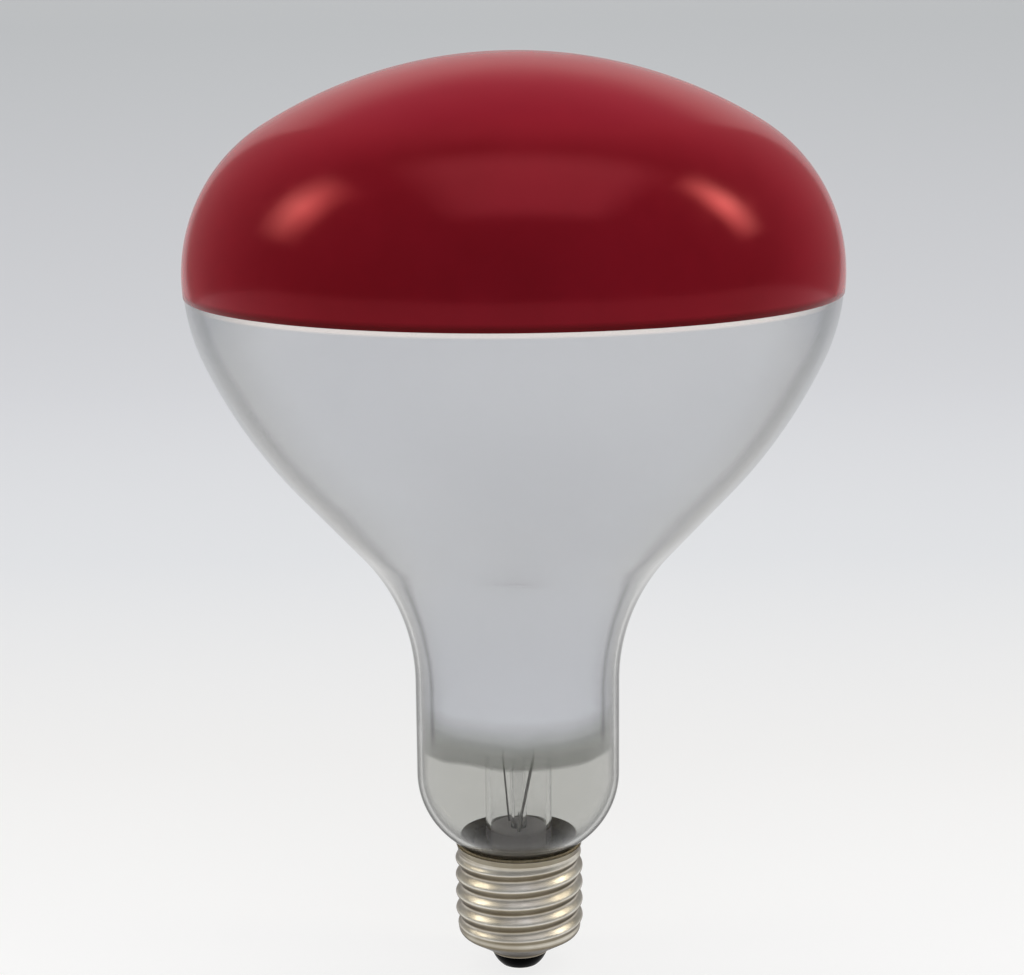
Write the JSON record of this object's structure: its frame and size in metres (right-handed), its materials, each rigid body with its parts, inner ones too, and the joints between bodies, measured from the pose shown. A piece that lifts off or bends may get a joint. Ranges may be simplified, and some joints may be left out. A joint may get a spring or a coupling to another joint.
{
  "type": "infrared heat lamp bulb",
  "caption": "Blown-glass reflector heat lamp with a red domed front, a mirrored conical back, a clear neck that shows the stem, and a nickel-plated screw cap.",
  "frame": {"origin": "the tip of the centre contact, on the lamp's axis", "axes": "+Z runs along the lamp's axis from the cap to the red face; -Y is the side that the picture shows"},
  "size_m": [0.1272, 0.1272, 0.1857],
  "materials": {
    "clear_glass": "clear, polished by the flame",
    "red_filter": "deep red translucent lacquer, high gloss",
    "mirror_film": "vapour-deposited mirror, seen through the glass",
    "stem_glass": "clear",
    "tungsten": "dark drawn wire",
    "support_wire": "drawn wire",
    "lead_wire": "dull drawn wire",
    "seal_wire": "copper-clad, dull",
    "cement": "dark brown baked cement, matt",
    "fibre_plug": "pale grey heat-resisting fibre, matt",
    "nickel_plate": "nickel plate over brass, satin from drawing",
    "black_glass": "opaque black, gloss",
    "contact_brass": "bare brass",
    "solder": "dull grey solder"
  },
  "bodies": {
    "root": {"glass_envelope": "clear_glass", "red_front_coating": "red_filter", "reflector_coating": "mirror_film", "stem": "stem_glass", "exhaust_tube": "stem_glass", "arbor_rod": "stem_glass", "filament": "tungsten", "filament_support_1": "support_wire", "filament_support_2": "support_wire", "filament_support_3": "support_wire", "filament_support_4": "support_wire", "filament_support_5": "support_wire", "inner_lead_left": "lead_wire", "inner_lead_right": "lead_wire", "seal_wire_left": "seal_wire", "seal_wire_right": "seal_wire", "contact_lead": "lead_wire", "rim_lead": "lead_wire", "stem_plug": "fibre_plug", "basing_cement": "cement", "cap_shell": "nickel_plate", "cap_insulator": "black_glass", "centre_contact": "contact_brass", "contact_solder": "solder", "rim_solder": "solder"}
  },
  "joints": []
}
